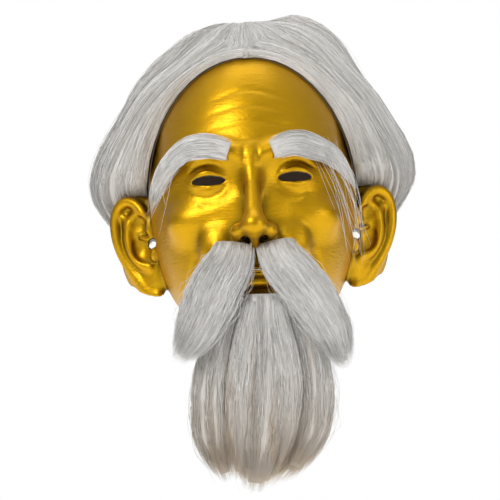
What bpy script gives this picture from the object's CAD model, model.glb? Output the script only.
import math

import bpy
import numpy as np
from mathutils import Matrix, Vector


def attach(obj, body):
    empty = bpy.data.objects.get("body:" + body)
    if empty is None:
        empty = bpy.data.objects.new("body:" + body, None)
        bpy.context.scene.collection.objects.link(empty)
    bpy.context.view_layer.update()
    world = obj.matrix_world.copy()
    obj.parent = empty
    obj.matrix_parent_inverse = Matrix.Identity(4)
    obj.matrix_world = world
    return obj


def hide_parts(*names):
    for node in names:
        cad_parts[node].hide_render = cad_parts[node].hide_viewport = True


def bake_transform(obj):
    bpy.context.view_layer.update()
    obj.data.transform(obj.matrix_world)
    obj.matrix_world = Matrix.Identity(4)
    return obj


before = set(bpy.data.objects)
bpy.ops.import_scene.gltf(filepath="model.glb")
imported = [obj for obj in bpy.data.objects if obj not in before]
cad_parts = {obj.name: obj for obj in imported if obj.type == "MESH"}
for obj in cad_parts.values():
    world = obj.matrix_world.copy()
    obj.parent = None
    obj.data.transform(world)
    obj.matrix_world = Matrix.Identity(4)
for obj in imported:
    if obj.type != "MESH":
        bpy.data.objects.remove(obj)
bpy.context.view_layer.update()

MM = 0.001
SIDES = (("left", -1), ("right", 1))    # as seen from the front: left is -X

# Sizes in millimetres, on the frame's axes: +Z up, and the face looks along -Y.
EYE = 28.0            # height of the eye line
HALF_WIDTH = 84.0     # the cranium's half width
HALF_DEPTH = 92.0     # and half depth
RISE = 128.0          # from the eye line to the crown
DROP = 128.0          # from the eye line to the chin
WALL = 2.4            # thickness of the latex
BACK_EDGE = 28.0      # the latex ends here at the back
TOP_EDGE = 143.0      # and here under the wig
NECK_EDGE = (-75.0, -108.0)      # y and z of a point on the neck's slanting edge
NECK_LEAN = math.radians(37.8)
EAR_ROOT = (78.5, -4.0, -13.0)   # of the ear on the +X side
EAR_SWEEP = math.radians(27.0)   # how far an ear turns back
EAR_LEAN = math.radians(6.0)     # and leans out at its top
VOXEL = 1.0           # step of the grid that the face is sculpted on


# ---------------------------------------------------------------- sculpting

def join(a, b, blend):
    """Smooth union of two signed distances."""
    h = np.clip(0.5 + 0.5 * (b - a) / blend, 0.0, 1.0)
    return b + (a - b) * h - blend * h * (1.0 - h)


def carve(a, b, blend):
    """Smooth cut of b out of a."""
    return -join(-a, b, blend)


def smooth_path(points, steps=6):
    """A Catmull-Rom path through a few points, as an array."""
    p = np.array(points, float)
    if len(p) < 3:
        return p
    p = np.vstack([2 * p[0] - p[1], p, 2 * p[-1] - p[-2]])
    out = []
    for i in range(1, len(p) - 2):
        for t in np.linspace(0.0, 1.0, steps, endpoint=False):
            out.append(0.5 * (2 * p[i] + (p[i + 1] - p[i - 1]) * t
                              + (2 * p[i - 1] - 5 * p[i] + 4 * p[i + 1] - p[i + 2]) * t ** 2
                              + (3 * p[i] - p[i - 1] - 3 * p[i + 1] + p[i + 2]) * t ** 3))
    out.append(p[-2])
    return np.array(out)


class Clay:
    """Signed distances on a regular grid, negative inside, shaped with a few sculpting tools."""

    def __init__(self, low, high, step):
        self.step = step
        self.axes = [np.arange(a, b + step / 2, step, dtype=np.float32) for a, b in zip(low, high)]
        self.field = np.full([len(a) for a in self.axes], 60.0, np.float32)

    def window(self, low, high):
        cuts = tuple(slice(int(np.searchsorted(axis, lo)), int(np.searchsorted(axis, hi)))
                     for axis, lo, hi in zip(self.axes, low, high))
        x, y, z = (axis[c] for axis, c in zip(self.axes, cuts))
        return cuts, (x[:, None, None], y[None, :, None], z[None, None, :])

    def blob(self, centre, radii, blend=4.0, turn=None, cut=False):
        """Adds, or cuts out, an ellipsoid; turn is a 3 x 3 rotation of its axes."""
        reach = max(radii) + blend + 8.0
        centre = np.array(centre, float)
        cuts, (x, y, z) = self.window(centre - reach, centre + reach)
        p = [x - centre[0], y - centre[1], z - centre[2]]
        if turn is not None:
            p = [turn[0][i] * p[0] + turn[1][i] * p[1] + turn[2][i] * p[2] for i in range(3)]
        near = np.sqrt(sum((q / r) ** 2 for q, r in zip(p, radii))) + 1e-6
        slope = np.sqrt(sum((q / r ** 2) ** 2 for q, r in zip(p, radii))) + 1e-6
        distance = (near * (near - 1.0) / slope).astype(np.float32)
        tool = carve if cut else join
        self.field[cuts] = tool(self.field[cuts], distance, blend)

    def path_distance(self, points, reach, radii=None):
        """Distance to a path, less a radius that may vary along it, in a window about the path."""
        points = np.asarray(points, float)
        cuts, (x, y, z) = self.window(points.min(0) - reach, points.max(0) + reach)
        best = None
        sizes = np.zeros(len(points))
        if radii is not None:
            sizes = np.interp(np.linspace(0, 1, len(points)), np.linspace(0, 1, len(radii)), radii)
        for a, b, ra, rb in zip(points[:-1], points[1:], sizes[:-1], sizes[1:]):
            run = b - a
            square = float(run @ run) + 1e-9
            t = ((x - a[0]) * run[0] + (y - a[1]) * run[1] + (z - a[2]) * run[2]) / square
            t = np.clip(t, 0.0, 1.0)
            gap = np.sqrt((x - a[0] - t * run[0]) ** 2 + (y - a[1] - t * run[1]) ** 2
                          + (z - a[2] - t * run[2]) ** 2) - (ra + (rb - ra) * t)
            best = gap if best is None else np.minimum(best, gap)
        return cuts, best.astype(np.float32)

    def rod(self, points, radii, blend=4.0, cut=False):
        """Adds, or cuts out, a rounded rod along a path."""
        radii = np.atleast_1d(radii)
        cuts, distance = self.path_distance(points, float(radii.max()) + blend + 8.0, radii)
        tool = carve if cut else join
        self.field[cuts] = tool(self.field[cuts], distance, blend)

    def stroke(self, points, width, height, taper=True):
        """Raises (or, with a negative height, creases) the skin along a path."""
        path = smooth_path(points)
        cuts, distance = self.path_distance(path, 3.2 * width)
        amount = height * np.exp(-(distance / width) ** 2)
        if taper:
            x, y, z = (axis[c] for axis, c in zip(self.axes, cuts))
            ends = [np.sqrt((x[:, None, None] - e[0]) ** 2 + (y[None, :, None] - e[1]) ** 2
                            + (z[None, None, :] - e[2]) ** 2) for e in (path[0], path[-1])]
            length = float(np.linalg.norm(np.diff(path, axis=0), axis=1).sum())
            fade = np.clip(np.minimum(ends[0], ends[1]) / (0.3 * length), 0.0, 1.0)
            amount = amount * fade * fade * (3.0 - 2.0 * fade)
        self.field[cuts] -= amount

    def sample(self, points):
        """Trilinear values of the field at points."""
        at = [(points[:, i] - self.axes[i][0]) / self.step for i in range(3)]
        base = [np.clip(np.floor(a).astype(int), 0, len(axis) - 2) for a, axis in zip(at, self.axes)]
        part = [np.clip(a - b, 0.0, 1.0) for a, b in zip(at, base)]
        total = 0.0
        for corner in range(8):
            pick = [(corner >> i) & 1 for i in range(3)]
            weight = 1.0
            for i in range(3):
                weight = weight * (part[i] if pick[i] else 1.0 - part[i])
            total = total + weight * self.field[tuple(b + c for b, c in zip(base, pick))]
        return total

    def skin(self):
        """The surface where the field is zero, by surface nets: points and quads."""
        f = self.field
        inside = f < 0
        cells = np.zeros([n - 1 for n in f.shape], np.int8)
        for corner in range(8):
            pick = tuple(slice((corner >> i) & 1, f.shape[i] - 1 + ((corner >> i) & 1)) for i in range(3))
            cells += inside[pick]
        active = np.argwhere((cells > 0) & (cells < 8))
        number = np.full(cells.shape, -1, np.int32)
        number[tuple(active.T)] = np.arange(len(active), dtype=np.int32)
        total = np.zeros((len(active), 3))
        count = np.zeros(len(active))
        for corner in range(8):
            for axis in range(3):
                if (corner >> axis) & 1:
                    continue
                start = np.array([(corner >> i) & 1 for i in range(3)])
                end = start.copy()
                end[axis] = 1
                a = f[tuple((active + start).T)]
                b = f[tuple((active + end).T)]
                crossed = (a < 0) != (b < 0)
                t = np.where(crossed, a / np.where(crossed, a - b, 1.0), 0.0)
                spot = (active + start).astype(float)
                spot[:, axis] += t
                total[crossed] += spot[crossed]
                count[crossed] += 1
        points = total / count[:, None] * self.step + np.array([axis[0] for axis in self.axes])
        quads = []
        for axis in range(3):
            one, two = [i for i in range(3) if i != axis]
            low = tuple(slice(0, n - 1) if i == axis else slice(None) for i, n in enumerate(f.shape))
            high = tuple(slice(1, n) if i == axis else slice(None) for i, n in enumerate(f.shape))
            edges = np.argwhere(inside[low] != inside[high])
            edges = edges[(edges[:, one] > 0) & (edges[:, two] > 0)
                          & (edges[:, one] < f.shape[one] - 1) & (edges[:, two] < f.shape[two] - 1)]
            ring = []
            for back_one, back_two in ((1, 1), (0, 1), (0, 0), (1, 0)):
                cell = edges.copy()
                cell[:, one] -= back_one
                cell[:, two] -= back_two
                ring.append(number[tuple(cell.T)])
            ring = np.stack(ring, axis=1)
            outward = inside[tuple(edges.T)]
            flip = outward if axis != 1 else ~outward
            ring[~flip] = ring[~flip][:, ::-1]
            quads.append(ring)
        return points, np.vstack(quads)


# ---------------------------------------------------------------- meshes

def new_mesh(name, points, faces, smooth=True):
    """An object with a mesh made of an array of points (millimetres) and an array of faces."""
    mesh = bpy.data.meshes.new(name)
    faces = np.asarray(faces, np.int32)
    sides = faces.shape[1]
    mesh.vertices.add(len(points))
    mesh.vertices.foreach_set("co", (np.asarray(points, np.float32) * MM).ravel())
    mesh.loops.add(faces.size)
    mesh.loops.foreach_set("vertex_index", faces.ravel())
    mesh.polygons.add(len(faces))
    mesh.polygons.foreach_set("loop_start", np.arange(0, faces.size, sides, dtype=np.int32))
    mesh.polygons.foreach_set("loop_total", np.full(len(faces), sides, np.int32))
    mesh.polygons.foreach_set("use_smooth", np.full(len(faces), smooth))
    mesh.update(calc_edges=True)
    mesh.validate()
    piece = bpy.data.objects.new(name, mesh)
    bpy.context.scene.collection.objects.link(piece)
    return piece


def give_values(piece, name, values):
    """Stores one number for each point of a mesh."""
    attribute = piece.data.attributes.new(name, "FLOAT", "POINT")
    attribute.data.foreach_set("value", np.asarray(values, np.float32))


# ---------------------------------------------------------------- the face

def head_form(clay):
    """The plain head: an ellipsoid above the eye line and a tapering jaw below it."""
    x, y, z = (axis.astype(np.float32) for axis in clay.axes)
    above = np.clip((z - EYE) / RISE, 0.0, 0.999)
    below = np.clip((EYE - z) / DROP, 0.0, 1.0)
    shrink = np.sqrt(1.0 - above ** 2)
    taper = np.sqrt(np.clip(1.0 - (below / 1.08) ** 2.2, 0.02, 1.0))
    half_width = np.where(z > EYE, HALF_WIDTH * shrink, HALF_WIDTH * taper)[None, None, :]
    half_depth = np.where(z > EYE, HALF_DEPTH * shrink, HALF_DEPTH)[None, None, :]
    power = 2.0 + 0.25 * np.clip((75.0 - z) / 40.0, 0.0, 1.0)[None, None, :]
    form = ((np.abs(x)[:, None, None] / half_width) ** power
            + (np.abs(y)[None, :, None] / half_depth) ** power) ** (1.0 / power) - 1.0
    slope = np.sqrt(sum(g ** 2 for g in np.gradient(form, clay.step))) + 1e-5
    clay.field = np.clip(form / slope, -60.0, 60.0).astype(np.float32)
    below_chin = (EYE - DROP) - z[None, None, :]
    clay.field = -join(-clay.field, -np.broadcast_to(below_chin, clay.field.shape), 14.0).astype(np.float32)


def mirrored(side, *points):
    """Points given for the +X side, on either side."""
    return [(side * x, y, z) for x, y, z in points]


def eyes(clay, side):
    """Socket, ball, lids, creases and bag of one eye."""
    middle = 33.0 * side
    clay.blob((middle, -97, 26), (19, 12, 13), 12, cut=True)
    clay.blob((middle * 0.99, -72, 27), (17.5, 16.5, 15.5), 4)
    lid_top = mirrored(side, (19, -86, 27.5), (26, -89, 32), (34, -88.5, 34), (42, -85, 31.5),
                       (48.5, -79, 26))
    lid_low = mirrored(side, (20, -86, 25), (27, -88.5, 21.5), (35, -88, 20.5), (42, -85, 22),
                       (48, -79, 25.5))
    crease = mirrored(side, (18, -86, 32), (25, -88, 38), (34, -86.5, 40.5), (44, -81, 38), (52, -74, 31))
    bag = mirrored(side, (19, -87, 20), (27, -89, 14.5), (37, -87, 13.5), (46, -80, 18))
    hollow = mirrored(side, (24, -91, 9), (34, -89, 6.5), (45, -82, 10))
    for line, width, height in ((lid_top, 1.8, 1.3), (lid_low, 1.6, 0.9), (crease, 1.7, -1.7),
                                (bag, 1.8, -1.2), (hollow, 2.6, -0.9)):
        clay.stroke(line, width, height)
    for rise, tilt in ((4.0, 5.0), (0.0, 0.5), (-4.0, -4.5)):
        laugh = mirrored(side, (53, -73, 25 + rise), (61, -63, 25.5 + rise + tilt * 0.6),
                         (68, -53, 25 + rise + tilt * 1.5))
        clay.stroke(laugh, 1.3, -0.8)


def nose(clay):
    """Bridge, tip, partition, wings and nostrils."""
    clay.rod([(0, -86, 48), (0, -96, 22), (0, -105, 2), (0, -111, -12)], (5.5, 5.5, 6.8, 8.0), 9)
    clay.blob((0, -111.0, -14.0), (9.6, 9.0, 8.6), 6)
    clay.rod([(0, -111, -21), (0, -100, -27)], (3.6, 4.2), 3)
    for side in (-1, 1):
        clay.blob((11.6 * side, -101.5, -17.0), (6.8, 9.5, 7.0), 5)
        wing_edge = mirrored(side, (13, -110, -8), (18.5, -102, -9), (20.5, -95, -17), (18.5, -93.5, -25))
        clay.stroke(wing_edge, 1.9, -1.0, taper=False)
        clay.blob((6.8 * side, -105, -25.5), (3.0, 5.6, 3.2), 2.0, cut=True)


def mouth_and_chin(clay):
    """Muzzle, lips and their corners, the groove under the nose, and the chin."""
    clay.blob((0, -87, -48), (30, 10, 20), 12)
    for side in (-1, 1):
        clay.blob((8.5 * side, -95.2, -46.6), (13.0, 6.0, 4.6), 2.6)
        clay.blob((24.5 * side, -90, -51), (4.0, 4.0, 3.6), 4, cut=True)
        clay.stroke(mirrored(side, (4.6, -98, -28), (5.6, -99, -40)), 2.0, 1.0)
    clay.blob((0, -95.5, -56.2), (18.0, 6.6, 5.2), 2.6)
    clay.stroke([(0, -97, -28), (0, -97.5, -41)], 2.6, -1.2)
    clay.blob((0, -98, -67), (22, 4.6, 4.4), 6, cut=True)
    clay.blob((0, -88, -85), (21, 13, 13), 9)


def cheeks_and_brow(clay):
    """Brow ridge, cheeks, folds, temples and the lines of the forehead."""
    for side in (-1, 1):
        ridge = mirrored(side, (9, -90, 45), (26, -88, 51), (46, -77, 52), (63, -60, 43))
        clay.rod(smooth_path(ridge), (4.5, 5.5, 5.0, 3.5), 10)
        clay.blob((47 * side, -66, -3), (20, 17, 14), 13)
        clay.blob((29 * side, -84, -26), (13, 8, 15), 9)
        fold = mirrored(side, (20, -97, -17), (27, -96, -30), (33, -91, -45), (35, -86, -60))
        clay.stroke(fold, 2.6, -2.4)
        clay.stroke(mirrored(side, (26, -97, -18), (33, -94, -31), (40, -87, -47)), 5.0, 1.6)
        clay.stroke(mirrored(side, (47, -80, -28), (52, -74, -44), (52, -69, -58)), 3.4, -1.2)
        clay.blob((84 * side, -44, 58), (9, 24, 24), 12, cut=True)
        clay.stroke(mirrored(side, (4.5, -95, 36), (5.5, -95, 46), (4.0, -94, 57)), 1.9, -1.2)
    for height, sag, reach in ((71, 2.0, 44), (84, 3.0, 42), (97, 3.5, 36)):
        line = []
        for part in np.linspace(-1.0, 1.0, 9):
            x = reach * part
            up = height + sag * math.cos(3.0 * part) - 1.5 * abs(part)
            shrink = math.sqrt(1.0 - ((up - EYE) / RISE) ** 2)
            y = -HALF_DEPTH * shrink * math.sqrt(1.0 - (x / (HALF_WIDTH * shrink)) ** 2) - 2.0
            line.append((x, y, up))
        clay.stroke(line, 2.3, -1.15)
    clay.stroke([(-11, -95, 33), (0, -98.5, 34.5), (11, -95, 33)], 1.6, -1.0)


def ear_frame(side):
    """Places a point given in an ear's own plane (outward, up, forward) on the head, and gives its axes."""
    outward = np.array([side * math.cos(EAR_SWEEP), math.sin(EAR_SWEEP), 0.0])
    forward = np.array([side * math.sin(EAR_SWEEP), -math.cos(EAR_SWEEP), 0.0])
    up = np.array([side * math.sin(EAR_LEAN), 0.0, math.cos(EAR_LEAN)])
    root = np.array(EAR_ROOT) * (side, 1, 1)

    def place(point):
        return root + outward * point[0] + up * point[1] + forward * point[2]
    return place, np.array([outward, forward, up]).T


def ear(clay, side):
    """One large ear: plate, rolled rim, inner fold, bowl, tragus and lobe."""
    place, turn = ear_frame(side)

    def track(*points):
        return smooth_path([place(p) for p in points])
    for at, radii, blend in (((14, 3, -3), (23, 6.5, 40), 4), ((20, 19, -1.5), (19, 5.5, 25), 4),
                             ((9, -27, -1), (12, 5.5, 15), 5)):
        clay.blob(place(at), radii, blend, turn=turn)
    rim = track((3, 6, 3.5), (5, 20, 4.5), (10, 33, 4), (19, 39.5, 3.5), (28, 37, 3.5), (34, 27, 4),
                (35.5, 12, 4.5), (33, -3, 4), (28, -15, 3), (22, -26, 2), (15, -37, 1), (7, -40, 0.5))
    clay.rod(rim, (3.2, 4.0, 4.4, 4.2, 3.8, 4.0, 4.6), 4.5)
    fold = track((15, 29, 3.5), (21, 22, 4.5), (24, 10, 5.5), (22, -3, 5.5), (16, -13, 4.5), (9, -16, 4))
    clay.rod(fold, (2.2, 3.2, 3.6, 3.4, 2.8), 4.5)
    clay.rod(track((27, 27, 3), (23, 20, 4)), (2.0, 2.6), 4.0)
    clay.blob(place((11.5, 1, 6.5)), (8.4, 6.5, 11), 3.5, turn=turn, cut=True)
    clay.blob(place((10, 19, 7)), (5.0, 4.2, 6.5), 3.5, turn=turn, cut=True)
    clay.rod([place((-1, 6, 2)), place((6, 7, 3.6)), place((13, 9, 3.4))], (2.4, 2.4, 1.6), 2.4)
    clay.blob(place((1.5, -6, 5)), (3.4, 4.2, 6.2), 3.0, turn=turn)


def recess(clay, points, normals):
    """How enclosed each point is, from 0 in the open to 1 deep in a fold."""
    shade = np.zeros(len(points))
    for reach, weight in ((2.5, 0.35), (6.0, 0.35), (13.0, 0.3)):
        free = clay.sample(points + normals * reach) / reach
        shade += weight * np.clip(1.0 - free, 0.0, 1.0)
    return np.clip(shade, 0.0, 1.0)


def openings(clay):
    """Cuts the eye slots, nostrils, ear canals and the slit between the lips."""
    for side in (-1, 1):
        clay.blob((34 * side, -88, 26.6), (13.2, 26, 3.6), 0.8, cut=True)
        clay.rod([(7.0 * side, -112, -30), (9.0 * side, -97, -12)], 2.2, 0.8, cut=True)
        clay.rod([(83 * side, -26, -10), (83 * side, 30, -10)], 3.6, 1.0, cut=True)
    tilt = math.radians(50.0)
    slit = ((1, 0, 0), (0, math.cos(tilt), math.sin(tilt)), (0, -math.sin(tilt), math.cos(tilt)))
    clay.blob((0, -95.5, -51.2), (20, 8, 1.1), 0.5, turn=slit, cut=True)


def trim(clay):
    """Cuts the latex off at the open back, the neck opening and the edge under the wig."""
    y, z = (axis.astype(np.float32) for axis in clay.axes[1:])
    behind, above = y[:, None] - NECK_EDGE[0], z[None, :] - NECK_EDGE[1]
    neck = -(-behind * math.sin(NECK_LEAN) + above * math.cos(NECK_LEAN))
    for plane in (neck[None], (y - BACK_EDGE)[None, :, None], (z - TOP_EDGE)[None, None, :]):
        clay.field = np.maximum(clay.field, plane).astype(np.float32)


def mask_face():
    """The moulding, which of its points are on its inner side, and the plain head without ears."""
    clay = Clay((-119, -128, -108), (119, 34, 150), VOXEL)
    head_form(clay)
    cheeks_and_brow(clay)
    for side in (-1, 1):
        eyes(clay, side)
    nose(clay)
    mouth_and_chin(clay)
    plain = clay.field.copy()
    for side in (-1, 1):
        ear(clay, side)
    solid = clay.field.copy()
    clay.field = np.maximum(solid, -(plain + WALL))
    openings(clay)
    trim(clay)
    points, quads = clay.skin()
    face = new_mesh("mask_face", points, quads)
    normals = np.zeros(len(points) * 3, np.float32)
    face.data.vertices.foreach_get("normal", normals)
    clay.field = solid
    give_values(face, "recess", recess(clay, points, normals.reshape(-1, 3)))
    clay.field = plain
    inner = clay.sample(points) < -0.62 * WALL
    return face, inner, clay


face, inner, clay = mask_face()
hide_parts("face_shell")
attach(face, "mask")


# ---------------------------------------------------------------- strands of hair

rng = np.random.default_rng(11)


def smooth(low, high, x):
    t = np.clip((x - low) / (high - low), 0.0, 1.0)
    return t * t * (3.0 - 2.0 * t)


def unit(v):
    return v / (np.linalg.norm(v, axis=-1, keepdims=True) + 1e-9)


def waves(count, steps, size, turns=2.2):
    """Gentle sideways waves for each strand: (count, steps, 3)."""
    u = np.linspace(0.0, 1.0, steps)[None, :, None]
    phase = rng.uniform(0, 2 * math.pi, (count, 1, 3))
    rate = turns * rng.uniform(0.5, 1.5, (count, 1, 3))
    grow = np.minimum(1.0, 4.0 * u)
    return size * grow * np.sin(phase + 2 * math.pi * rate * u) * rng.uniform(0.3, 1.0, (count, 1, 1))


def strand_mesh(name, paths, radius, tone, tip=0.25):
    """Closed three-sided tubes along many paths, (strands, steps, 3), thinned to a part of their radius."""
    count, steps, _ = paths.shape
    along = unit(np.gradient(paths, axis=1))
    middle = paths.mean(axis=(0, 1))
    reference = unit(paths.mean(axis=1, keepdims=True) - middle + np.array([0.1, -3.0, 1.0]))
    across = unit(np.cross(along, np.broadcast_to(reference, along.shape)))
    lift = np.cross(across, along)
    u = np.linspace(0.0, 1.0, steps)
    profile = np.minimum(1.0, 0.55 + 4.0 * u) * (1.0 - (1.0 - tip) * smooth(0.7, 1.0, u))
    thick = np.broadcast_to(np.asarray(radius, float).reshape(-1, 1), (count, 1)) * profile[None, :]
    rings = []
    for corner in range(3):
        turn = 2 * math.pi * corner / 3
        rings.append(paths + thick[:, :, None] * (math.cos(turn) * across + math.sin(turn) * lift))
    points = np.stack(rings, axis=2)
    base = (np.arange(count)[:, None] * steps + np.arange(steps - 1)[None, :])[:, :, None] * 3
    tris = []
    for corner in range(3):
        after = (corner + 1) % 3
        a, b = base + corner, base + after
        tris.append(np.concatenate([a, b, b + 3], axis=2))
        tris.append(np.concatenate([a, b + 3, a + 3], axis=2))
    body = np.stack(tris, axis=2).reshape(count, -1, 3)
    first = (np.arange(count) * steps * 3)[:, None]
    last = first + (steps - 1) * 3
    ends = np.stack([first + [0, 2, 1], last + [0, 1, 2]], axis=1)
    faces = np.concatenate([body, ends], axis=1).reshape(-1, 3)
    piece = new_mesh(name, points.reshape(-1, 3), faces)
    give_values(piece, "tone", np.repeat(tone, steps * 3))
    give_values(piece, "along", np.tile(np.repeat(u, 3), count))
    # one cell of the bake for each strand: 4 columns of cells, with the strand running along its cell
    rows = max(1, math.ceil(count / 4))
    strand = np.repeat(np.arange(count), faces.shape[0] // count * 3)
    vertex = faces.reshape(-1)
    step = (vertex // 3) % steps
    uv = np.empty((len(vertex), 2), np.float32)
    uv[:, 0] = (strand % 4 + 0.04 + 0.92 * step / (steps - 1)) / 4
    uv[:, 1] = (strand // 4 + 0.15 + 0.35 * (vertex % 3)) / rows
    layer = piece.data.uv_layers.new(name="OFBake")
    layer.data.foreach_set("uv", uv.ravel())
    return piece


def slab_mesh(name, outer, inner_sheet):
    """A closed solid between two grids of points of the same shape (rows, columns, 3)."""
    rows, columns, _ = outer.shape
    index = np.arange(rows * columns).reshape(rows, columns)
    quads = np.stack([index[:-1, :-1], index[1:, :-1], index[1:, 1:], index[:-1, 1:]], axis=-1).reshape(-1, 4)
    under = quads[:, ::-1] + rows * columns
    rim = np.concatenate([index[0, :], index[1:, -1], index[-1, -2::-1], index[-2:0:-1, 0]])
    after = np.roll(rim, -1)
    sides = np.stack([rim, after, after + rows * columns, rim + rows * columns], axis=-1)
    points = np.concatenate([outer.reshape(-1, 3), inner_sheet.reshape(-1, 3)])
    return new_mesh(name, points, np.concatenate([quads, under, sides]))


def path_through(points, steps):
    """A smooth path resampled to equal steps."""
    path = smooth_path(points, 12)
    length = np.concatenate([[0.0], np.cumsum(np.linalg.norm(np.diff(path, axis=0), axis=1))])
    at = np.linspace(0.0, length[-1], steps)
    return np.stack([np.interp(at, length, path[:, i]) for i in range(3)], axis=1)


class Bundle:
    """A lock of hair in an oval tube along a path, whose half widths and half depths vary along it."""

    def __init__(self, points, widths, depths, facing, steps=26):
        self.steps = steps
        self.centre = path_through(points, steps)
        u = np.linspace(0.0, 1.0, steps)
        knots = np.linspace(0.0, 1.0, len(widths))
        self.wide = np.interp(u, knots, widths)
        self.deep = np.interp(u, np.linspace(0.0, 1.0, len(depths)), depths)
        along = unit(np.gradient(self.centre, axis=0))
        facing = path_through(facing, steps) if np.ndim(facing) == 2 else np.tile(facing, (steps, 1))
        self.across = unit(np.cross(along, facing))
        self.out = np.cross(self.across, along)

    def at(self, angle, part, u):
        """Points at an angle round the tube, a part of its radius out, at places u along it."""
        place = u * (self.steps - 1)
        low = np.clip(place.astype(int), 0, self.steps - 2)
        t = (place - low)[..., None]

        def pick(values):
            values = values if values.ndim == 2 else values[:, None]
            return values[low] * (1 - t) + values[low + 1] * t
        x = np.cos(angle)[..., None] * part[..., None] * pick(self.wide)
        y = np.sin(angle)[..., None] * part[..., None] * pick(self.deep)
        return pick(self.centre) + pick(self.across) * x + pick(self.out) * y

    def strands(self, count, starts, ends, inside, locks, wave, gather=0.35):
        """Paths in the tube's outer part, from inside of its radius out, drawn together into locks."""
        angle = rng.uniform(0.0, 2 * math.pi, count)
        lock = np.round(angle / (2 * math.pi) * locks) / locks * 2 * math.pi
        begin = rng.uniform(*starts, count)[:, None]
        finish = (rng.uniform(*ends, count) - 0.09 * np.cos(angle) ** 4)[:, None]
        u = begin + (finish - begin) * np.linspace(0.0, 1.0, self.steps)[None, :]
        turn = angle[:, None] + (lock - angle)[:, None] * gather * u
        ridge = 1.0 - 0.12 * np.abs(np.sin((turn * locks) / 2)) ** 2
        part = np.sqrt(rng.uniform(inside ** 2, 1.0, count))[:, None] * ridge
        return self.at(turn, part, u) + waves(count, self.steps, wave)

    def strays(self, name, count):
        """A few single hairs that stand off the lock."""
        run = np.linspace(0.0, 1.0, self.steps)[None, :]
        angle = rng.uniform(math.pi, 2 * math.pi, count)[:, None]
        u = rng.uniform(0.0, 0.5, count)[:, None] + 0.5 * run
        part = 1.02 + rng.uniform(0.03, 0.22, count)[:, None] * np.sin(math.pi * run)
        paths = self.at(angle + 0.6 * (u - 0.5), part, np.clip(u, 0.0, 1.0)) + waves(count, self.steps, 1.6)
        return strand_mesh(name, paths, np.full(count, 0.12), tones(count, 0.85))

    def hair(self, name, count, tone, thickest=0.26, loose=0, **how):
        """The lock's strands and its loose hairs as one piece."""
        paths = self.strands(count, **how)
        piece = strand_mesh(name, paths, rng.uniform(0.15, thickest, count), tones(count, tone), tip=0.1)
        if loose:
            piece = joined(name, [piece, self.strays(name + "_loose", loose)])
        return piece

    def core(self, name, part, last, around=40):
        """A smooth closed mass within the strands, as far as last along the tube."""
        u = np.linspace(0.0, last, self.steps)[:, None]
        angle = np.linspace(0.0, 2 * math.pi, around, endpoint=False)[None, :]
        shrink = part * (1.0 - 0.55 * smooth(last - 0.2, last, u))
        ring = self.at(angle + 0 * u, shrink + 0 * angle, u + 0 * angle)
        rows = self.steps
        index = np.arange(rows * around).reshape(rows, around)
        after = np.roll(index, -1, axis=1)
        quads = np.stack([index[:-1], after[:-1], after[1:], index[1:]], axis=-1).reshape(-1, 4)
        middles = np.stack([ring[0].mean(axis=0), ring[-1].mean(axis=0)])
        top, bottom = rows * around, rows * around + 1
        caps = [np.stack([after[0], index[0], np.full(around, top)], axis=-1),
                np.stack([index[-1], after[-1], np.full(around, bottom)], axis=-1)]
        tris = np.concatenate([quads[:, [0, 1, 2]], quads[:, [0, 2, 3]], *caps])
        piece = new_mesh(name, np.concatenate([ring.reshape(-1, 3), middles]), tris)
        give_values(piece, "tone", np.full(len(piece.data.vertices), 0.5))
        give_values(piece, "along", np.append((u + 0 * angle).ravel() / last, (0.0, 1.0)))
        give_values(piece, "comb", np.append((angle / 6.0 + 0 * u).ravel(), (0.0, 0.0)))
        return piece


def tones(count, middle=0.6):
    """How light each strand is, from 0 to 1."""
    return np.clip(rng.normal(middle, 0.19, count), 0.0, 1.0)


def joined(name, pieces):
    """Joins pieces into one object."""
    bpy.ops.object.select_all(action="DESELECT")
    for piece in pieces:
        piece.select_set(True)
    bpy.context.view_layer.objects.active = pieces[0]
    bpy.ops.object.join()
    pieces[0].name = name
    return pieces[0]


# ---------------------------------------------------------------- wig hair

NET_GAP = 3.6         # from the cranium to the hair's inner side
CAP_CENTRE = np.array([0, 0, EYE])
CAP_RADII = np.array([HALF_WIDTH, HALF_DEPTH, RISE]) + NET_GAP
HAIR_CENTRE = np.array([0, 6, 26.0])
HAIR_RADII = np.array([135.0, 113.0, 147.0])

# Control directions of the hair, which all springs from a whorl on the crown: for the front half of one
# side, and then for its back half, at the first, middle and last lines of flow.
WHORL = (0.0, 0.04, 1.0)
FRONT_FLOW = np.array([
    [WHORL, (0.03, -1.28, 0.84), (1.02, -0.24, 0.44), (0.88, 0.33, -0.25)],
    [WHORL, (0.50, -0.62, 1.05), (1.18, -0.05, 0.46), (0.94, 0.40, -0.30)],
    [WHORL, (0.65, 0.28, 1.05), (1.15, 0.48, 0.55), (0.78, 0.64, -0.14)],
])
BACK_FLOW = np.array([
    [WHORL, (0.65, 0.28, 1.05), (1.15, 0.48, 0.55), (0.78, 0.64, -0.14)],
    [WHORL, (0.38, 0.70, 1.00), (0.80, 0.98, 0.50), (0.44, 0.90, -0.15)],
    [WHORL, (-0.01, 0.85, 1.00), (-0.01, 1.30, 0.50), (-0.01, 1.00, -0.15)],
])


def flow(keys, s, u):
    """The direction from the head's middle at a place s across and u along one side's hair."""
    across = ((1 - s) * (1 - 2 * s), 4 * s * (1 - s), s * (2 * s - 1))
    along = ((1 - u) ** 3, 3 * u * (1 - u) ** 2, 3 * u * u * (1 - u), u ** 3)
    total = 0.0
    for i, part in enumerate(across):
        for j, weight in enumerate(along):
            total = total + (part * weight)[..., None] * keys[i, j]
    return unit(total)


# The hairline lies in a slanting plane: its height and y at the forehead, and how fast y grows downwards.
HAIRLINE_TOP = 131.0
HAIRLINE_FRONT = -55.0
HAIRLINE_SLOPE = math.tan(math.radians(26.3))
OVERHANG = 3.2        # of the hair past the hairline


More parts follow.
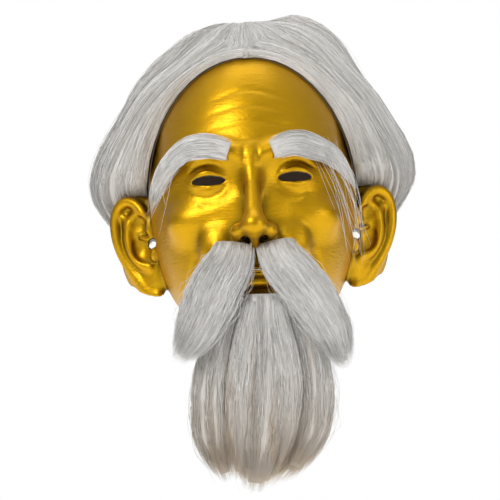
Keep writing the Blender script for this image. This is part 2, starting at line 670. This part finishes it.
def hairline():
    """Directions along the first line of hair: whorl, forehead, down the hairline and back over the ear."""
    places = [WHORL, (0.0, -0.28, 0.96)]
    for height in (134, 132, 126, 112, 94, 75, 57, 41):
        forward = (HAIRLINE_FRONT - OVERHANG + HAIRLINE_SLOPE * (HAIRLINE_TOP - height)) / CAP_RADII[1]
        up = (height - EYE) / CAP_RADII[2]
        places.append((math.sqrt(max(0.0, 1.0 - forward ** 2 - up ** 2)), forward, up))
    places += [(0.98, 0.10, 0.0), (0.95, 0.22, -0.14), (0.90, 0.34, -0.27)]
    return path_through(places, 80)


FIRST_LINE = hairline()


def first_line(u):
    """Directions at places u along the first line of hair."""
    at = np.clip(u, 0.0, 1.0) * (len(FIRST_LINE) - 1)
    low = np.clip(at.astype(int), 0, len(FIRST_LINE) - 2)
    part = (at - low)[..., None]
    return FIRST_LINE[low] * (1 - part) + FIRST_LINE[low + 1] * part


def lock_height(s, u, seed, number):
    """Ridges of combed locks, in millimetres."""
    drift = 0.05 * np.sin(3.1 * u + seed) + 0.02 * np.sin(7.3 * u + 2.3 * seed)
    place = number * (s + drift) + 0.37 * seed
    ridge = 0.5 - 0.5 * np.cos(2 * math.pi * (place + 0.16 * np.sin(2 * math.pi * place * 0.5 + 4 * u)))
    second = np.sin(2 * math.pi * (2.6 * number * s + 0.7 * np.sin(2.4 * u + seed)))
    return (5.6 * ridge ** 0.7 - 3.2 + 1.2 * second) * smooth(0.04, 0.3, u)


def wig_place(side, s, u, part, back):
    """Points of one side's hair; part runs from the cap at 0 to the outer surface at 1."""
    way = flow(BACK_FLOW if back else FRONT_FLOW, s, u)
    full = np.ones_like(s)      # how far the hair stands off the cap
    if not back:
        share = smooth(0.0, 0.34, s)[..., None]
        way = unit(first_line(u) * (1 - share) + way * share)
        edge = 0.28 - 0.10 * smooth(0.3, 0.6, u)
        full = 1.0 - smooth(0.06, 0.30, u) * (1.0 - edge) * (1.0 - smooth(0.0, 0.36, s))
    narrow = 1.0 - (0.15 if side < 0 else 0.11) * np.exp(-((way[..., 2] - 0.60) / 0.30) ** 2)
    short = 1.0 - (0.05 if side < 0 else 0.0) * np.exp(-((way[..., 0] - 0.42) / 0.22) ** 2)
    wide = np.stack([narrow, np.ones_like(narrow), short], axis=-1)
    low = CAP_CENTRE + way * CAP_RADII
    high = HAIR_CENTRE + way * HAIR_RADII * wide
    full = full * (0.70 + 0.30 * smooth(0.0, 0.12, u)) * (1.0 - 0.42 * smooth(0.80, 1.0, u))
    middle = smooth(1.0, 0.9, s) if back else smooth(0.0, 0.10, s)
    ridges = lock_height(s + float(back), u, 1.7 if side > 0 else 0.4, 5) * (0.35 + 0.65 * full) * middle
    if side > 0 and not back:
        # one lock swells over the crown's right side, and a fold parts the hair above the right ear
        swell = np.exp(-((s - 0.62) / 0.17) ** 2) * smooth(0.08, 0.2, u) * (1.0 - smooth(0.34, 0.52, u))
        fold = np.exp(-((s - 0.16 - 0.12 * u) / 0.05) ** 2)
        fold = fold * smooth(0.42, 0.6, u) * (1.0 - smooth(0.8, 0.95, u))
        ridges = ridges + 8.0 * swell - 6.0 * fold
    lumps = 3.0 * np.sin(7.3 * side * way[..., 0] + 1.1)
    lumps = lumps * np.sin(6.1 * way[..., 1] + 0.6) * np.sin(8.2 * way[..., 2])
    ridges = ridges + lumps * full * smooth(0.0, 0.15, u)
    place = low + (high - low) * (full * part)[..., None] + way * (ridges * part)[..., None]
    return place * np.array([side, 1.0, 1.0])


def wig_mass(name, side, back):
    """The smooth mass with combed ridges that lies under the strands."""
    s, u = np.meshgrid(np.linspace(0.0, 1.0, 110), np.linspace(0.0, 0.92, 80), indexing="ij")
    outer = wig_place(side, s, u, np.full_like(s, 0.93), back)
    under = wig_place(side, s, u, np.full_like(s, 0.03), back)
    if side < 0:
        outer, under = outer[::-1], under[::-1]
        s, u = s[::-1], u[::-1]
    mass = slab_mesh(name, outer, under)
    give_values(mass, "tone", np.full(len(mass.data.vertices), 0.5))
    give_values(mass, "along", np.tile(u.ravel(), 2))
    give_values(mass, "comb", np.tile(s.ravel(), 2))
    return mass


def wig_strands(name, side, back, steps=20, tufts=26):
    """Thousands of strands over the mass, which end in tufts. An eighth of them cover the hairline."""
    count = 2000 if back else 3400
    edge = count // 8
    start = rng.uniform(0.0, 1.0, count)
    start[:edge] = rng.uniform(0.0, 0.012, edge)
    tuft = np.floor(start * tufts)
    centre = (tuft + 0.5) / tufts
    length = rng.uniform(0.88, 1.0, tufts + 1)[tuft.astype(int)]
    finish = length * (1.0 - 0.16 * rng.uniform(0.0, 1.0, count) ** 2)
    u = np.linspace(0.0, 1.0, steps)[None, :] * finish[:, None]
    s = start[:, None] + (centre - start)[:, None] * 0.5 * smooth(0.45, 1.0, u)
    s = np.clip(s + 0.010 * np.sin(5 * u + 9 * start[:, None]), 0.0, 1.0)
    part = 1.0 - 0.07 * rng.uniform(0.0, 1.0, count)[:, None] ** 1.3 + 0.0 * u
    if not back:
        part[:edge] = rng.uniform(0.08, 1.0, edge)[:, None]
    paths = wig_place(side, s, u, part, back) + waves(count, steps, 0.45)
    if not back:
        away = unit(paths[:edge] - CAP_CENTRE)
        paths[:edge] -= away * rng.uniform(0.0, 2.7, edge)[:, None, None] * (1.0 - part[:edge])[..., None]
    return strand_mesh(name, paths, rng.uniform(0.16, 0.27, count), tones(count), tip=0.1)


def wig_strays(name, side, back, steps=20, count=90):
    """Single hairs that stand off the wig."""
    start = rng.uniform(0.0, 1.0, count)[:, None]
    u = np.linspace(0.0, 1.0, steps)[None, :] * rng.uniform(0.7, 1.0, count)[:, None]
    part = 1.0 + rng.uniform(0.005, 0.04, count)[:, None] * smooth(0.1, 0.8, u)
    s = np.clip(start + 0.05 * np.sin(4 * u + start * 20), 0, 1)
    paths = wig_place(side, s, u, part, back) + waves(count, steps, 2.0)
    return strand_mesh(name, paths, np.full(count, 0.13), tones(count, 0.8))


def wig_side(word, side, back):
    """One side's front or back hair."""
    name = ("back_locks_" if back else "front_locks_") + word
    mass = wig_mass(name + "_mass", side, back)
    hair = joined(name, [wig_strands(name, side, back), wig_strays(name + "_loose", side, back)])
    for piece in (mass, hair):
        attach(piece, "mask")
    return mass, hair


wig = []
for word, side in SIDES:
    mass, hair = wig_side(word, side, back=False)
    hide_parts(f"crown_hair_{word}", f"side_hair_{word}")
    wig += [mass, hair]
    mass, hair = wig_side(word, side, back=True)
    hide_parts(f"back_hair_{word}")
    wig += [mass, hair]


# ---------------------------------------------------------------- brows

def front_surface(field_clay):
    """The y of the face's front for each x and z of the clay's grid."""
    f = field_clay.field
    y = field_clay.axes[1]
    hit = f < 0
    first = np.argmax(hit, axis=1)
    first = np.where(hit.any(axis=1), np.maximum(first, 1), len(y) - 1)
    ix, iz = np.indices(first.shape)
    a = f[ix, first - 1, iz]
    b = f[ix, first, iz]
    part = np.clip(a / (a - b + 1e-6), 0.0, 1.0)
    return y[0] + (first - 1 + part) * field_clay.step


FRONT = np.minimum(front_surface(clay), 10.0)


def on_face(x, z, ahead):
    """Points in front of the face by a distance along -Y."""
    x, z = np.asarray(x, float), np.asarray(z, float)
    i = np.clip((x - clay.axes[0][0]) / clay.step, 0.0, FRONT.shape[0] - 1.001)
    k = np.clip((z - clay.axes[2][0]) / clay.step, 0.0, FRONT.shape[1] - 1.001)
    i0, k0 = i.astype(int), k.astype(int)
    a, c = i - i0, k - k0
    y = ((FRONT[i0, k0] * (1 - a) + FRONT[i0 + 1, k0] * a) * (1 - c)
         + (FRONT[i0, k0 + 1] * (1 - a) + FRONT[i0 + 1, k0 + 1] * a) * c)
    return np.stack([x, np.minimum(y, 5.0) - ahead, z], axis=-1)


# The middle line of each brow, as (x, z) places for the +X side, and its half heights along it.
BROW_LINES = {
    "left": (((17, 47), (32, 52), (50, 52), (66, 42), (76, 27), (82, 11)), (9.5, 11.0, 9.5, 9.0, 8.0, 5.0)),
    "right": (((17, 47), (34, 52), (52, 49), (68, 42), (78, 33), (84, 22)), (9.5, 11.5, 9.5, 7.0, 5.0, 3.0)),
}
# The long hairs at each brow's outer end: where they spring from, where they end, and how many.
FLY_AWAYS = {
    "left": ((-62, -78, 46), (-80, -66, 6), 9),
    "right": ((58, -82, 52), (84, -62, -30), 26),
}


def brow(word, side):
    """A flat band of hair along a line of (x, z) places, with a squared inner end."""
    line, heights = BROW_LINES[word]
    line = np.array(line, float)
    centre = on_face(side * line[:, 0], line[:, 1], np.linspace(4.0, 5.0, len(line)))
    facing = np.stack([centre[:, 0] / 95.0, np.full(len(line), -1.0), np.full(len(line), 0.15)], axis=1)
    tube = Bundle(centre, heights, (2.2, 3.4, 3.6, 3.0, 1.6), facing)
    core = tube.core(f"brow_{word}_mass", part=0.78, last=0.86)
    hair = tube.hair(f"brow_{word}", 1100, 0.7, starts=(0.0, 0.42), ends=(0.62, 1.0), inside=0.5, locks=9,
                     wave=0.6)
    return core, hair


def fly_away(name, start, finish, count):
    """Long single hairs from a brow's outer end down the cheek."""
    paths = []
    for _ in range(count):
        a = np.array(start) + rng.normal(0, (6, 2, 4))
        b = np.array(finish) + rng.normal(0, (7, 3, 12))
        middle = (a + b) / 2 + np.array([rng.uniform(-8, 12), -6, rng.uniform(-4, 8)])
        paths.append(path_through([a, middle, b], 20))
    return strand_mesh(name, np.array(paths), np.full(count, 0.13), tones(count, 0.85))


brows = [brow(word, side) for word, side in SIDES]
long_hairs = [fly_away(f"brow_{word}_loose", *FLY_AWAYS[word]) for word, _ in SIDES]
brow_pieces = []
for (word, _), (core, hair), loose in zip(SIDES, brows, long_hairs):
    hair = joined(f"brow_{word}", [hair, loose])
    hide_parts(f"eyebrow_{word}")
    for piece in (core, hair):
        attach(piece, "mask")
        brow_pieces.append(piece)


# ---------------------------------------------------------------- moustache

# Each wing: its path, and half widths and half depths along it.
WINGS = {
    "left": (((-16, -101, -26), (-20, -109, -40), (-32, -118, -62), (-47, -123, -93), (-63, -117, -116)),
             (16, 20, 21, 17.5, 9), (3.5, 7.5, 9, 8.5, 4.0)),
    "right": (((15.5, -101, -26), (20, -108.5, -40), (36, -118, -64), (54, -122, -97), (64, -117, -127)),
              (15.5, 19, 19, 16, 8), (3.5, 7.5, 9, 8.5, 3.5)),
}


def wing(word, side):
    """One wing of the moustache, which bends under the nose."""
    tube = Bundle(*WINGS[word], (0.12 * side, -1.0, 0.1))
    core = tube.core(f"moustache_{word}_mass", part=0.88, last=0.95)
    hair = tube.hair(f"moustache_strands_{word}", 2300, 0.72, loose=50, starts=(0.0, 0.06), ends=(0.86, 1.0),
                     inside=0.8, locks=12, gather=0.25, wave=1.1)
    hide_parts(f"moustache_{word}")
    for piece in (core, hair):
        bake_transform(piece)
    return core, hair


moustache = [piece for word, side in SIDES for piece in wing(word, side)]


# ---------------------------------------------------------------- beard

# Each lock: its path, half widths and half depths along it, how many strands, and how light they are.
BEARD_LOCKS = {
    "lock_left": (
        ((-14, -107, -68), (-27, -107, -95), (-37, -106, -135), (-38, -103, -175), (-29, -100, -208)),
        (9, 14, 16, 16, 8), (4, 8, 10, 9, 3), 1700, 0.6),
    "lock_centre": (
        ((5, -108, -67), (4, -110, -95), (1, -109, -135), (-4, -105, -178), (-10, -101, -217)),
        (16, 24, 26, 24, 11), (4, 8, 11, 11, 3.5), 2400, 0.62),
    "lock_right": (
        ((22, -107, -68), (32, -107, -95), (37, -106, -130), (35, -103, -167), (19, -100, -205)),
        (9, 15, 18, 17, 8), (4, 8, 10, 9, 3), 1800, 0.58),
    "lock_fore_left": (
        ((-5, -111, -72), (-11, -116, -100), (-17, -117, -138), (-21, -111, -180), (-21, -105, -207)),
        (6, 9, 10, 9, 5), (2, 4, 5, 4, 2), 800, 0.66),
    "lock_fore_right": (
        ((14, -111, -72), (17, -116, -98), (20, -117, -130), (17, -112, -168), (8, -105, -200)),
        (6, 9, 11, 9, 5), (2, 4, 5, 4, 2), 800, 0.66),
}
UNDER_LOCKS = (
    ((2, -93, -108), (1, -91, -130), (0, -90, -155), (-3, -90, -185), (-9, -92, -212)),
    (32, 45, 50, 42, 17), (4, 6, 6, 5, 3), 1500, 0.5)


def beard_lock(name, line, widths, depths, count, tone, locks=9):
    tube = Bundle(line, widths, depths, (0.0, -1.0, 0.0), steps=28)
    core = tube.core(name + "_mass", part=0.9, last=0.95)
    hair = tube.hair(name, count, tone, thickest=0.27, loose=30, starts=(0.0, 0.03), ends=(0.82, 1.0),
                     inside=0.8, locks=locks, gather=0.2, wave=1.1)
    return core, hair


beard_parts = [beard_lock(name, *facts) for name, facts in BEARD_LOCKS.items()]
under_parts = beard_lock("under_locks", *UNDER_LOCKS, locks=14)
masses = joined("beard_mass", [core for core, _ in beard_parts])
beard_hair = joined("beard_locks", [hair for _, hair in beard_parts])
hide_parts("chin_hair", "beard_left", "beard_centre", "beard_right")
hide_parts("beard_under_hair")
for piece in (masses, beard_hair):
    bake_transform(piece)
for piece in under_parts:
    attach(piece, "beard")


# ---------------------------------------------------------------- net cap, gauze and elastic

CAP_HEM = 24.0


def net_cap():
    """The net that the hair is sewn to, stretched over the head behind the hairline."""
    around = np.linspace(-math.pi, math.pi, 145)
    rise = np.linspace(-0.2, 0.5 * math.pi, 500)
    middle = np.array([HALF_WIDTH, HALF_DEPTH, RISE]) + 0.9

    def spot(a, h, radii):
        return np.stack([radii[0] * np.cos(h) * np.sin(a), -radii[1] * np.cos(h) * np.cos(a),
                         EYE + radii[2] * np.sin(h)], axis=-1)
    seen = spot(*np.meshgrid(around, rise, indexing="ij"), middle)
    line = HAIRLINE_FRONT + HAIRLINE_SLOPE * (HAIRLINE_TOP - seen[..., 2]) + 1.2
    kept = (seen[..., 2] >= CAP_HEM) & (seen[..., 1] >= line)
    first = rise[np.argmax(kept, axis=1)][:, None]
    h = first + (0.5 * math.pi - 0.012 - first) * np.linspace(0.0, 1.0, 60)[None, :]
    a = around[:, None] + 0.0 * h
    return slab_mesh("net_cap", spot(a, h, middle + 0.3), spot(a, h, middle - 0.3))


def gauze(name, x, z):
    """A strip of gauze glued to the face, on a grid of (x, z) places."""
    outer, under = on_face(x, z, 1.5), on_face(x, z, 0.8)
    if x[-1, 0] < x[0, 0]:
        outer, under = outer[::-1], under[::-1]
    return slab_mesh(name, outer, under)


def brow_gauze(word, side):
    """The gauze of one brow, a little narrower than its hair."""
    line, heights = (np.array(values, float) for values in BROW_LINES[word])
    x = np.linspace(18.0, 72.0, 46)
    middle = np.interp(x, line[:, 0], line[:, 1])
    half = 0.7 * np.interp(x, line[:, 0], heights)
    v = np.linspace(-1.0, 1.0, 14)
    return gauze(f"brow_gauze_{word}", side * x[:, None] + 0 * v, middle[:, None] + half[:, None] * v)


def grid(rows, columns):
    """Places from -1 to 1 both ways."""
    return np.meshgrid(np.linspace(-1.0, 1.0, rows), np.linspace(-1.0, 1.0, columns), indexing="ij")


def lip_gauze(word, side, middle):
    """The gauze of one moustache wing, which slopes down a little outwards."""
    u, v = grid(24, 12)
    return gauze(f"lip_gauze_{word}", side * (middle + 10.5 * u), -33.5 + 5.0 * v - 2.0 * u)


def chin_gauze():
    """The gauze of the beard."""
    u, v = grid(44, 20)
    return gauze("chin_gauze", 20.0 * u, -79.0 + 8.5 * v)


def elastic():
    """The ribbed elastic band: straight tabs at the rivets and a half circle behind."""
    radius, height, width = 70.05, -21.0, 18.0
    tab, bend = 11.0, 28.0      # y of the tabs' ends, and where the half circle begins
    turn = np.linspace(0.0, math.pi, 150)
    run = np.linspace(tab, bend, 18)[:-1]
    x = np.concatenate([np.full(len(run), radius), radius * np.cos(turn), np.full(len(run), -radius)])
    y = np.concatenate([run, bend + radius * np.sin(turn), run[::-1]])
    out = np.concatenate([np.tile((1.0, 0.0), (len(run), 1)), np.stack([np.cos(turn), np.sin(turn)], axis=1),
                          np.tile((-1.0, 0.0), (len(run), 1))])
    across = np.linspace(-0.5, 0.5, 73)
    rib = 0.5 + 0.22 * np.abs(np.cos(across * 9 * math.pi)) * (1.0 - smooth(0.46, 0.5, np.abs(across)))

    def sheet(sign):
        flat_x = x[:, None] + sign * out[:, :1] * rib
        flat_y = y[:, None] + sign * out[:, 1:] * rib
        return np.stack([flat_x, flat_y, height + width * across + 0 * flat_x], axis=-1)
    return slab_mesh("elastic_band", sheet(1.0), sheet(-1.0))


cap = net_cap()
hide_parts("wig_cap")
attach(cap, "mask")
cloths = []
for word, side, middle in (("left", -1, 13.0), ("right", 1, 17.0)):
    for cloth, hidden, size in ((brow_gauze(word, side), "eyebrow_backing_", (0.062, 0.015)),
                                (lip_gauze(word, side, middle), "moustache_backing_", (0.022, 0.011))):
        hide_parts(hidden + word)
        cloths.append(cloth)
chin_cloth = chin_gauze()
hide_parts("beard_backing")
cloths.append(chin_cloth)
for cloth in cloths:
    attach(cloth, "mask")
band = elastic()
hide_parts("head_strap")
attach(band, "strap")


# ---------------------------------------------------------------- materials

def material(name):
    """A new material with its node tree and its shader."""
    made = bpy.data.materials.new(name)
    made.use_nodes = True
    tree = made.node_tree
    return made, tree, tree.nodes["Principled BSDF"]


def node(tree, kind, values=(), **settings):
    """A new node, with values for its sockets and settings for itself."""
    made = tree.nodes.new(kind)
    for key, value in settings.items():
        setattr(made, key, value)
    for key, value in values:
        made.inputs[key].default_value = value
    return made


def ramp(tree, source, stops):
    """Colours picked by a value, from stops of (value, colour)."""
    made = tree.nodes.new("ShaderNodeValToRGB")
    elements = made.color_ramp.elements
    for element, (place, colour) in zip(list(elements), (stops[0], stops[-1])):
        element.position = place
        element.color = (*colour, 1)
    for place, colour in stops[1:-1]:
        elements.new(place).color = (*colour, 1)
    tree.links.new(source, made.inputs["Fac"])
    return made.outputs["Color"]


def noise(tree, scale, detail=4.0, stretch=(1, 1, 1)):
    """Noise on the object's own coordinates, in metres."""
    where = node(tree, "ShaderNodeTexCoord")
    mapping = node(tree, "ShaderNodeMapping")
    mapping.inputs["Scale"].default_value = stretch
    made = node(tree, "ShaderNodeTexNoise", (("Scale", scale), ("Detail", detail)))
    tree.links.new(where.outputs["Object"], mapping.inputs["Vector"])
    tree.links.new(mapping.outputs["Vector"], made.inputs["Vector"])
    return made.outputs["Fac"]


def math_node(tree, operation, a, b):
    """One operation on two values, each a number or an output."""
    made = node(tree, "ShaderNodeMath", operation=operation)
    for slot, value in enumerate((a, b)):
        if isinstance(value, (int, float)):
            made.inputs[slot].default_value = value
        else:
            tree.links.new(value, made.inputs[slot])
    return made.outputs[0]


def plus(tree, a, b):
    return math_node(tree, "ADD", a, b)


def times(tree, a, b):
    return math_node(tree, "MULTIPLY", a, b)


def value_of(tree, name):
    """A number that the mesh stores for each of its points."""
    return node(tree, "ShaderNodeAttribute", attribute_name=name).outputs["Fac"]


def blend_colour(tree, factor, below, above):
    """From the colour output below, at a factor of 0, to the fixed colour above, at 1."""
    made = node(tree, "ShaderNodeMix", data_type="RGBA")
    colour_a, colour_b, result = made.inputs[6], made.inputs[7], made.outputs[2]
    tree.links.new(factor, made.inputs[0])
    tree.links.new(below, colour_a)
    colour_b.default_value = (*above, 1)
    return result


def paint(tree, shader, colour):
    tree.links.new(colour, shader.inputs["Base Color"])


def roughen(tree, shader, texture, least, spread):
    """Roughness that varies with a texture."""
    tree.links.new(plus(tree, times(tree, texture, spread), least), shader.inputs["Roughness"])


def bump(tree, shader, height, strength, distance):
    """Relief of a given depth in metres."""
    made = node(tree, "ShaderNodeBump", (("Strength", strength), ("Distance", distance)))
    tree.links.new(height, made.inputs["Height"])
    tree.links.new(made.outputs["Normal"], shader.inputs["Normal"])


def gold_paint():
    """Satin gold, darker in the folds."""
    made, tree, shader = material("gold_paint")
    mottle = noise(tree, 38.0, 5.0)
    depth = plus(tree, value_of(tree, "recess"), times(tree, math_node(tree, "SUBTRACT", mottle, 0.5), 0.22))
    paint(tree, shader, ramp(tree, depth, ((0.10, (0.59, 0.32, 0.003)), (0.34, (0.42, 0.235, 0.003)),
                                           (0.58, (0.23, 0.135, 0.003)), (0.88, (0.06, 0.036, 0.003)))))
    shader.inputs["Metallic"].default_value = 1.0
    shader.inputs["Coat Weight"].default_value = 0.15
    shader.inputs["Coat Roughness"].default_value = 0.32
    roughen(tree, shader, noise(tree, 120.0, 4.0), 0.31, 0.2)
    brushed = noise(tree, 90.0, 4.0, stretch=(1, 1, 7))
    relief = plus(tree, noise(tree, 420.0, 6.0), times(tree, mottle, 2.0))
    bump(tree, shader, plus(tree, relief, times(tree, brushed, 1.4)), 0.28, 0.0006)
    return made


def bare_latex():
    """Tan latex, the moulding's unpainted inside."""
    made, tree, shader = material("bare_latex")
    stained = noise(tree, 60.0, 5.0)
    paint(tree, shader, ramp(tree, stained, ((0.3, (0.56, 0.42, 0.25)), (0.7, (0.70, 0.56, 0.36)))))
    roughen(tree, shader, noise(tree, 200.0), 0.5, 0.2)
    shader.inputs["Subsurface Weight"].default_value = 0.08
    bump(tree, shader, noise(tree, 500.0, 6.0), 0.25, 0.0005)
    return made


def fibre(name, stops, tips=None):
    """Hair, streaked along its combed direction. Its tips and some patches may have another colour."""
    made, tree, shader = material(name)
    along = value_of(tree, "along")
    place = node(tree, "ShaderNodeCombineXYZ")
    tree.links.new(times(tree, value_of(tree, "comb"), 210.0), place.inputs["X"])
    tree.links.new(times(tree, along, 3.0), place.inputs["Y"])
    combed = node(tree, "ShaderNodeTexNoise", (("Scale", 1.0), ("Detail", 3.0)))
    tree.links.new(place.outputs[0], combed.inputs["Vector"])
    streak = plus(tree, times(tree, combed.outputs["Fac"], 0.7), times(tree, noise(tree, 45.0, 2.0), 0.3))
    contrast = times(tree, math_node(tree, "SUBTRACT", streak, 0.5), 0.7)
    colour = ramp(tree, plus(tree, value_of(tree, "tone"), contrast), stops)
    if tips:
        streaks = noise(tree, 60.0, 2.0, (1.6, 1, 0.16))
        patch = math_node(tree, "MAXIMUM", math_node(tree, "SUBTRACT", streaks, 0.54), 0.0)
        share = plus(tree, times(tree, math_node(tree, "POWER", along, 3.0), 0.75),
                     times(tree, times(tree, patch, along), 5.0))
        colour = blend_colour(tree, math_node(tree, "MINIMUM", share, 0.8), colour, tips)
    paint(tree, shader, colour)
    roughen(tree, shader, streak, 0.34, 0.2)
    shader.inputs["Specular IOR Level"].default_value = 0.45
    bump(tree, shader, combed.outputs["Fac"], 0.3, 0.0004)
    return made


def woven(name, low, high, pitch, rough):
    """Cloth of two crossed sets of threads, pitch metres apart."""
    made, tree, shader = material(name)
    where = node(tree, "ShaderNodeTexCoord").outputs["Object"]
    threads = []
    for direction in ("X", "Z"):
        # at a scale of 1, a wave texture repeats every 0.314 m
        values = (("Scale", 0.314 / pitch), ("Distortion", 0.6), ("Detail", 1.0))
        wave = node(tree, "ShaderNodeTexWave", values, bands_direction=direction)
        tree.links.new(where, wave.inputs["Vector"])
        threads.append(wave.outputs["Fac"])
    height = math_node(tree, "MAXIMUM", *threads)
    mixed = plus(tree, times(tree, height, 0.6), times(tree, noise(tree, 150.0), 0.4))
    paint(tree, shader, ramp(tree, mixed, ((0.2, low), (0.8, high))))
    roughen(tree, shader, noise(tree, 300.0), rough, 0.15)
    shader.inputs["Sheen Weight"].default_value = 0.15
    bump(tree, shader, height, 0.5, 0.0003)
    return made


def brass():
    made, tree, shader = material("brass")
    tarnish = noise(tree, 260.0, 5.0)
    paint(tree, shader, ramp(tree, tarnish, ((0.3, (0.60, 0.42, 0.16)), (0.7, (0.80, 0.62, 0.30)))))
    shader.inputs["Metallic"].default_value = 1.0
    roughen(tree, shader, noise(tree, 500.0, 5.0), 0.16, 0.25)
    bump(tree, shader, noise(tree, 900.0, 3.0), 0.12, 0.0002)
    return made


def dress(pieces, *finishes):
    """Gives the same materials to some pieces."""
    for piece in pieces:
        for finish in finishes:
            piece.data.materials.append(finish)


WHITE = ((0.0, (0.24, 0.23, 0.215)), (0.35, (0.47, 0.455, 0.425)), (0.62, (0.65, 0.63, 0.60)),
         (1.0, (0.86, 0.85, 0.83)))
TAN = ((0.0, (0.42, 0.30, 0.18)), (0.35, (0.66, 0.52, 0.35)), (0.6, (0.80, 0.72, 0.58)),
       (1.0, (0.90, 0.88, 0.82)))
dress([face], gold_paint(), bare_latex())
dress([*wig, *brow_pieces, *moustache], fibre("white_hair", WHITE))
dress([masses, beard_hair], fibre("beard_white", WHITE, tips=(0.50, 0.40, 0.29)))
dress(under_parts, fibre("tan_hair", TAN))
dress([cap], woven("net", (0.018, 0.012, 0.009), (0.07, 0.048, 0.036), 0.0014, 0.7))
dress(cloths, woven("gauze", (0.42, 0.29, 0.16), (0.66, 0.50, 0.32), 0.0009, 0.75))
dress([band], woven("elastic", (0.62, 0.60, 0.55), (0.86, 0.84, 0.79), 0.0008, 0.6))

# the CAD nodes that are shown as they are
weft_weave = woven("weft", (0.34, 0.31, 0.27), (0.60, 0.56, 0.50), 0.0010, 0.7)
rivet_metal = brass()
kept = {
    "cap_binding": woven("binding", (0.05, 0.035, 0.026), (0.14, 0.10, 0.08), 0.0011, 0.65),
    "hairline_tape": woven("tape", (0.035, 0.024, 0.012), (0.12, 0.085, 0.045), 0.0008, 0.6),
    **{f"weft_track_{number}": weft_weave for number in range(1, 6)},
    **{f"strap_rivet_{word}": rivet_metal for word, _ in SIDES},
    **{f"rivet_washer_{word}": rivet_metal for word, _ in SIDES},
}
for name, finish in kept.items():
    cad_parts[name].data.materials.clear()
    dress([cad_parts[name]], finish)

# the inside of the moulding is unpainted
loops = np.zeros(len(face.data.loops), np.int32)
face.data.loops.foreach_get("vertex_index", loops)
face.data.polygons.foreach_set("material_index", inner[loops.reshape(-1, 4)].all(axis=1).astype(np.int32))


# ---------------------------------------------------------------- studio and camera

AIM = (0, -0.05, -0.02)          # where the lamps point
# Each lamp: its place and side in metres, and its power in watts.
LAMPS = {
    "key": ((-0.75, -1.25, 0.95), 0.55, 11.5),
    "fill": ((1.15, -1.05, 0.25), 0.7, 3.4),
    "top": ((0.0, 0.1, 1.35), 0.9, 4.5),
    "rim": ((0.4, 1.3, 0.6), 0.9, 6),
}
FLOOR_LEVEL = -265               # millimetres
FLOOR_REACH = 6e4
LENS = 155
DISTANCE = 1.7                   # from the camera to its target, in metres
TARGET = Vector((-0.004, -0.06, -0.026))
ELEVATION = math.radians(-7.3)   # the camera is below its target
ROLL = math.radians(-2.8)


def lamp(name, at, size, power):
    light = bpy.data.lights.new(name, "AREA")
    light.size = size
    light.energy = power
    made = bpy.data.objects.new(name, light)
    bpy.context.scene.collection.objects.link(made)
    made.location = at
    made.rotation_euler = (Vector(AIM) - Vector(at)).to_track_quat("-Z", "Y").to_euler()


def sky():
    """White for the camera, and for the object's reflections darker towards the ground."""
    world = bpy.data.worlds.new("studio")
    bpy.context.scene.world = world
    world.use_nodes = True
    tree = world.node_tree
    back = tree.nodes["Background"]
    seen = node(tree, "ShaderNodeLightPath").outputs["Is Camera Ray"]
    direction = node(tree, "ShaderNodeSeparateXYZ")
    tree.links.new(node(tree, "ShaderNodeTexCoord").outputs["Generated"], direction.inputs[0])
    height = plus(tree, times(tree, direction.outputs["Z"], 0.5), 0.5)
    shade = ramp(tree, height, ((0.0, (0.10, 0.10, 0.10)), (0.46, (0.12, 0.12, 0.12)),
                                (0.62, (0.30, 0.30, 0.31)), (1.0, (0.75, 0.75, 0.75))))
    tree.links.new(blend_colour(tree, seen, shade, (1.0, 1.0, 1.0)), back.inputs["Color"])
    back.inputs["Strength"].default_value = 1.0


def floor():
    """A pale ground, which glows a little so that it is as white as the sky."""
    corners = np.array([(-1, -1, 0), (1, -1, 0), (1, 1, 0), (-1, 1, 0)]) * FLOOR_REACH + (0, 0, FLOOR_LEVEL)
    ground = new_mesh("floor", corners, [(0, 1, 2, 3)], smooth=False)
    made, tree, shader = material("pale_floor")
    paint(tree, shader, ramp(tree, noise(tree, 3.0), ((0.3, (0.86, 0.86, 0.86)), (0.7, (0.90, 0.90, 0.90)))))
    shader.inputs["Roughness"].default_value = 0.8
    shader.inputs["Emission Color"].default_value = (1.0, 1.0, 1.0, 1.0)
    shader.inputs["Emission Strength"].default_value = 0.48
    dress([ground], made)


def photographer():
    lens = bpy.data.cameras.new("camera")
    lens.lens = LENS
    camera = bpy.data.objects.new("camera", lens)
    bpy.context.scene.collection.objects.link(camera)
    camera.location = TARGET + Vector((0, -math.cos(ELEVATION), math.sin(ELEVATION))) * DISTANCE
    heading = (TARGET - camera.location).to_track_quat("-Z", "Y").to_matrix().to_4x4()
    camera.matrix_world = Matrix.Translation(camera.location) @ heading @ Matrix.Rotation(ROLL, 4, "Z")
    bpy.context.scene.camera = camera


bpy.context.scene.view_settings.view_transform = "Standard"
sky()
for name, facts in LAMPS.items():
    lamp(name, *facts)
floor()
photographer()
